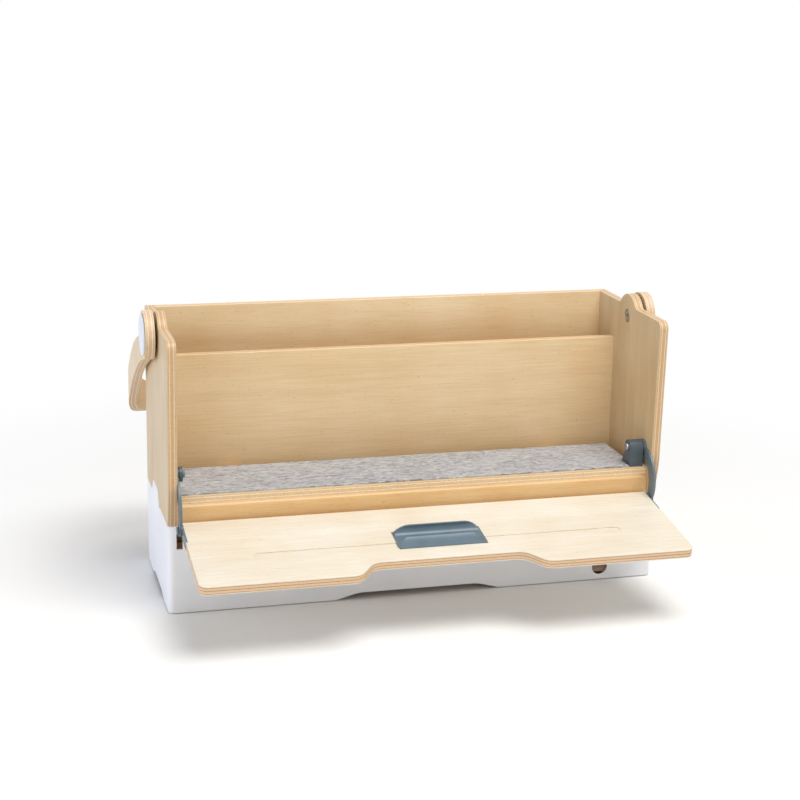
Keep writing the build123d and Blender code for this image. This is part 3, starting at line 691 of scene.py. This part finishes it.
@dataclass
class FeltShelf:
    """Shelf and the felt mat on it.

    Attributes:
        cell: Size of the mat's mesh cells.
        lift: Height of the soft waves in its surface.
        wave: Length of those waves.
        rim: Radius of its worn upper edge.
        side_gap: Width of the gap beside the shelf on the right.
        shoulder: Depth of the mat's wide part, in front of that gap.
        ease: Gap round the hinge bracket.
        boss: Height of the bracket's boss, which stands clear of the mat.
        felt: Finish of the mat.
    """

    cell: float = 3.0 * MM
    lift: float = 0.12 * MM
    wave: float = 17.0 * MM
    rim: float = 0.35 * MM
    side_gap: float = 10.0 * MM
    shoulder: float = 20.8 * MM
    ease: float = 0.6 * MM
    boss: float = 1.5 * MM
    felt: WoolFelt = WoolFelt()

    def outline(self) -> bmesh.types.BMesh:
        """Cuts the mat's flat outline from a grid.

        Returns:
            The flat mat as a bmesh at its underside.
        """
        low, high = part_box("shelf_felt")
        bracket_low, bracket_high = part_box("hinge_bracket")
        left, right = bracket_low.x - self.ease, bracket_high.x - self.boss + self.ease
        narrow, shoulder, rear = high.x - self.side_gap, low.y + self.shoulder, bracket_high.y + self.ease
        width, depth = high.x - low.x, high.y - low.y
        shape = bmesh.new()
        bmesh.ops.create_grid(shape, x_segments=round(width / self.cell), y_segments=round(depth / self.cell),
                              size=1.0, matrix=Matrix.Diagonal((width / 2, depth / 2, 1.0, 1.0)))
        bmesh.ops.translate(shape, verts=shape.verts, vec=((low.x + high.x) / 2, (low.y + high.y) / 2, low.z))
        cuts = [((x, 0.0, 0.0), (1.0, 0.0, 0.0)) for x in (left, right, narrow)]
        cuts += [((0.0, y, 0.0), (0.0, 1.0, 0.0)) for y in (rear, shoulder)]
        for place, normal in cuts:
            bmesh.ops.bisect_plane(shape, geom=shape.verts[:] + shape.edges[:] + shape.faces[:], dist=1e-6,
                                   plane_co=place, plane_no=normal)
        waste = []
        for face in shape.faces:
            centre = face.calc_center_median()
            beside = centre.x > narrow and centre.y > shoulder
            in_window = left < centre.x < right and centre.y < rear
            if beside or in_window:
                waste.append(face)
        bmesh.ops.delete(shape, geom=waste, context="FACES")
        return shape

    def mat(self) -> None:
        """Makes the mat, which stands for the CAD node."""
        low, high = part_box("shelf_felt")
        shape = self.outline()
        area = sum(face.calc_area() for face in shape.faces)
        raised = bmesh.ops.extrude_face_region(shape, geom=shape.faces[:])["geom"]
        top = {item for item in raised if isinstance(item, bmesh.types.BMVert)}
        for vert in top:
            swell = noise.noise(Vector((vert.co.x / self.wave, vert.co.y / self.wave, 0.0)))
            vert.co.z = high.z - self.lift * (1 + swell) / 2
        bmesh.ops.recalc_face_normals(shape, faces=shape.faces)
        # Between the top and the upright sides, one of an edge's two faces stands upright.
        rims = [edge for edge in shape.edges if len(edge.link_faces) == 2
                and all(vert in top for vert in edge.verts)
                and min(abs(face.normal.z) for face in edge.link_faces) < 0.5]
        bmesh.ops.bevel(shape, geom=rims, offset=self.rim, offset_type="OFFSET", segments=2, profile=0.5,
                        affect="EDGES", material=-1)
        for face in shape.faces:
            face.smooth = True
        mat = add_piece("felt_mat", shape, self.felt.build(), "case")
        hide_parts("shelf_felt")

    def build(self) -> None:
        """Dresses the shelf and lays the mat."""
        shelf = BirchPlywood("birch_shelf", Layers.ACROSS_Z, middle_of("shelf_board", 2), Grain.ALONG_X,
                             layer_light="#F9E4C3", layer_dark="#E8CAA0", glue="#D3AE84")
        dress(shelf.build(), "shelf_board")
        self.mat()


@dataclass
class FlapHinges:
    """Bracket, boss and arms that carry the flap, with their bolts, pins and leaves.

    Attributes:
        paint: Finish of the arms, the leaves and the pins.
        shaded_paint: Darker copy of the blue-grey paint on the cast bracket and boss; the darker colour is
            painted shade.
        plating: Finish of the bare bolt and the screws.
    """

    paint: SatinPaint = SatinPaint()
    # Darker copy of the arms' blue-grey paint, as painted shade on the bracket and boss.
    shaded_paint: SatinPaint = SatinPaint("blue_grey_paint_painted_shade", "#525D66", "#49535B")
    plating: ZincPlate = ZincPlate("zinc_plated_bolts")

    def build(self) -> None:
        """Dresses the hinges."""
        paint = self.paint.build()
        for side in ("left", "right"):
            dress(paint, f"hinge_arm_{side}", f"flap_leaf_{side}")
        dress(paint, "flap_pins", "arm_bolt_left")
        dress(self.shaded_paint.build(), "hinge_bracket", "hinge_boss")
        dress(self.plating.build(), "arm_bolt_right", "leaf_screws")


@dataclass
class FoldingFlap:
    """Folding plywood flap and its stopper.

    Attributes:
        pivot: Middle of the flap's pins, which lies in the middle of the board's thickness.
        gloss: Finish of the stopper, a little glossier than the hinges.
    """

    pivot: tuple[float, float, float] = (0.0, -79.0 * MM, 77.0 * MM)
    gloss: SatinPaint = SatinPaint("blue_grey_stopper", "#5E7381", "#576B79", (0.26, 0.36))

    def build(self) -> None:
        """Dresses the flap."""
        middle = Vector(self.pivot).dot(Vector(Layers.FLAP.value))
        # The flap's face colours are paler than the other birch. This is painted light, for the stronger light
        # from above on its top face.
        board = BirchPlywood("birch_flap_painted_light", Layers.FLAP, middle, Grain.ALONG_X, light="#F0ECE2",
                             dark="#EBE4D6", layer_light="#EAC9A2", layer_dark="#BC936C", glue="#B0855E",
                             core_share=0.01, veneer=(0.7, 0.765))
        dress(board.build(), "flap_board")
        dress(self.gloss.build(), "laptop_stopper")


@dataclass
class CarryingHandle:
    """Bent plywood handle with its white caps, spacers and bolts.

    Attributes:
        bend: Outer radius of the band's two bends.
        acetal: Finish of the caps.
        nylon: Finish of the spacers.
        plating: Finish of the bolts.
    """

    bend: float = 28.0 * MM
    acetal: FineGrained = FineGrained("white_acetal", "#EAEDF5", "#E4E7EF", (0.35, 0.45))
    nylon: FineGrained = FineGrained("black_nylon", "#3B3835", "#33302D", (0.5, 0.6))
    plating: ZincPlate = ZincPlate("zinc_plated_handle_bolts")

    def build(self) -> None:
        """Dresses the handle."""
        _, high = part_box("handle_band")
        band = BirchPlywood("bent_birch_band", Layers.BENT_BAND, 0.0, Grain.ALONG_XY, light="#E9D7B9",
                            dark="#E0CCAB", layer_light="#F1DEC3", layer_dark="#DDC1A1",
                            bend_centre=(high.x - self.bend, high.y - self.bend, 0.0), bend_radius=self.bend)
        dress(band.build(), "handle_band")
        dress(self.acetal.build(), "handle_cap_left", "handle_cap_right")
        dress(self.nylon.build(), "handle_spacers")
        dress(self.plating.build(), "handle_bolt_left", "handle_bolt_right")


@dataclass(frozen=True)
class Lamp:
    """Soft square area lamp.

    Attributes:
        name: Name of the lamp.
        place: Where it stands, in metres.
        size: Side of its square in metres.
        power: Its power in watts.
        colour: Its colour.
    """

    name: str
    place: tuple[float, float, float]
    size: float
    power: float
    colour: str

    def build(self, target: Vector) -> None:
        """Adds the lamp to the scene.

        Args:
            target: Point that it faces.
        """
        data = bpy.data.lights.new(self.name, "AREA")
        data.size = self.size
        data.energy = self.power
        data.color = linear(self.colour)[:3]
        lamp = bpy.data.objects.new(self.name, data)
        bpy.context.scene.collection.objects.link(lamp)
        lamp.location = self.place
        lamp.rotation_euler = (target - Vector(self.place)).to_track_quat("-Z", "Y").to_euler()


@dataclass
class Studio:
    """Camera, floor, lamps and white surroundings.

    Attributes:
        position: Place of the camera.
        target: Point that it looks at.
        roll: Turn of the camera about its line of sight.
        sensor: Width of its sensor in millimetres.
        image: Width of the picture in pixels.
        focus: Its focal length in pixels.
        drop: How far down the camera's frame is shifted, in pixels.
        floor_size: Side of the square floor.
        floor_colour: Colour of the floor near the case.
        fade: Distances from the case between which the floor turns white to the camera.
        ambient: Strength of the even light from all round.
        lamps: The lamps.
        lit_point: Point that the lamps face.
    """

    position: tuple[float, float, float] = (-0.3870, -1.4200, 0.5498)
    target: tuple[float, float, float] = (-0.0042, -0.0100, 0.1969)
    roll: float = math.radians(1.04)
    sensor: float = 36.0
    image: float = 800.0
    focus: float = 1706.9
    drop: float = 40.0
    floor_size: float = 12.0
    floor_colour: str = "#F8F8F8"
    fade: tuple[float, float] = (0.25, 0.75)
    ambient: float = 0.44
    lamps: tuple[Lamp, ...] = (
        Lamp("top_softbox", (0.4, -0.75, 2.15), 1.3, 38.0, "#FFFDF9"),
        Lamp("front_fill", (-1.3, -1.9, 0.5), 1.3, 6.0, "#FFFFFF"),
        Lamp("left_fill", (-2.0, 0.35, 0.45), 1.0, 11.0, "#D9E4FF"),
    )
    lit_point: tuple[float, float, float] = (0.0, 0.0, 0.12)

    def camera(self) -> None:
        """Sets the camera to the photograph's view."""
        data = bpy.data.cameras.new("camera")
        data.sensor_width = self.sensor
        data.lens = self.focus / self.image * self.sensor
        data.shift_y = -self.drop / self.image
        data.clip_end = 50.0
        view = bpy.data.objects.new("camera", data)
        bpy.context.scene.collection.objects.link(view)
        forward = (Vector(self.target) - Vector(self.position)).normalized()
        right = forward.cross(Vector((0.0, 0.0, 1.0))).normalized()
        turn = Matrix((right, right.cross(forward), -forward)).transposed().to_4x4()
        view.matrix_world = Matrix.Translation(self.position) @ turn @ Matrix.Rotation(self.roll, 4, "Z")
        bpy.context.scene.camera = view

    def white_rays(self, tree: bpy.types.NodeTree) -> bpy.types.NodeSocket:
        """Factor that is 1 for camera, glossy and transmission rays.

        Args:
            tree: Node tree of the floor or the world.

        Returns:
            The factor.
        """
        rays = add_node(tree, "ShaderNodeLightPath").outputs
        glossy = add_node(tree, "ShaderNodeMath", {0: rays["Is Camera Ray"], 1: rays["Is Glossy Ray"]},
                          operation="MAXIMUM")
        return add_node(tree, "ShaderNodeMath", {0: glossy.outputs[0], 1: rays["Is Transmission Ray"]},
                        operation="MAXIMUM").outputs[0]

    def surroundings(self) -> None:
        """Sets the even ambient light and the white background."""
        world = bpy.data.worlds.new("studio_white")
        world.use_nodes = True
        tree = world.node_tree
        tree.nodes.clear()
        dim = add_node(tree, "ShaderNodeBackground", {"Color": WHITE, "Strength": self.ambient})
        white = add_node(tree, "ShaderNodeBackground", {"Color": WHITE, "Strength": 1.0})
        mixed = add_node(tree, "ShaderNodeMixShader", {0: self.white_rays(tree), 1: dim.outputs[0],
                                                       2: white.outputs[0]})
        add_node(tree, "ShaderNodeOutputWorld", {"Surface": mixed.outputs[0]})
        bpy.context.scene.world = world

    def floor(self) -> None:
        """Lays the pale floor, which fades to white away from the case."""
        shape = bmesh.new()
        bmesh.ops.create_grid(shape, x_segments=1, y_segments=1, size=self.floor_size / 2)
        mesh = bpy.data.meshes.new("studio_floor")
        shape.to_mesh(mesh)
        shape.free()
        floor = bpy.data.objects.new("studio_floor", mesh)
        bpy.context.scene.collection.objects.link(floor)
        material, tree, place = new_material("pale_matt_floor")
        far = add_node(tree, "ShaderNodeVectorMath", {0: place}, operation="LENGTH").outputs["Value"]
        near, away = self.fade
        fade = add_node(tree, "ShaderNodeMapRange", {"Value": far, "From Min": near, "From Max": away},
                        interpolation_type="SMOOTHSTEP").outputs[0]
        factor = add_node(tree, "ShaderNodeMath", {0: fade, 1: self.white_rays(tree)}, operation="MULTIPLY")
        matt = add_node(tree, "ShaderNodeBsdfDiffuse", {"Color": linear(self.floor_colour)})
        glow = add_node(tree, "ShaderNodeEmission", {"Color": WHITE, "Strength": 1.0})
        mixed = add_node(tree, "ShaderNodeMixShader", {0: factor.outputs[0], 1: matt.outputs[0],
                                                       2: glow.outputs[0]})
        add_node(tree, "ShaderNodeOutputMaterial", {"Surface": mixed.outputs[0]})
        mesh.materials.append(material)

    def build(self) -> None:
        """Sets up the studio."""
        bpy.context.scene.view_settings.view_transform = "Standard"
        self.camera()
        self.surroundings()
        self.floor()
        for lamp in self.lamps:
            lamp.build(Vector(self.lit_point))


def main() -> None:
    """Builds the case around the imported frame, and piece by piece."""
    logging.basicConfig(level=logging.INFO, format="%(message)s")
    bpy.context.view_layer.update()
    assemblies = (Studio(), SteelBase(), PlywoodCase(), FeltShelf(), FlapHinges(), FoldingFlap(),
                  CarryingHandle())
    for assembly in assemblies:
        assembly.build()
        LOG.info("finished %s", type(assembly).__name__)


if __name__ == "__main__":
    main()
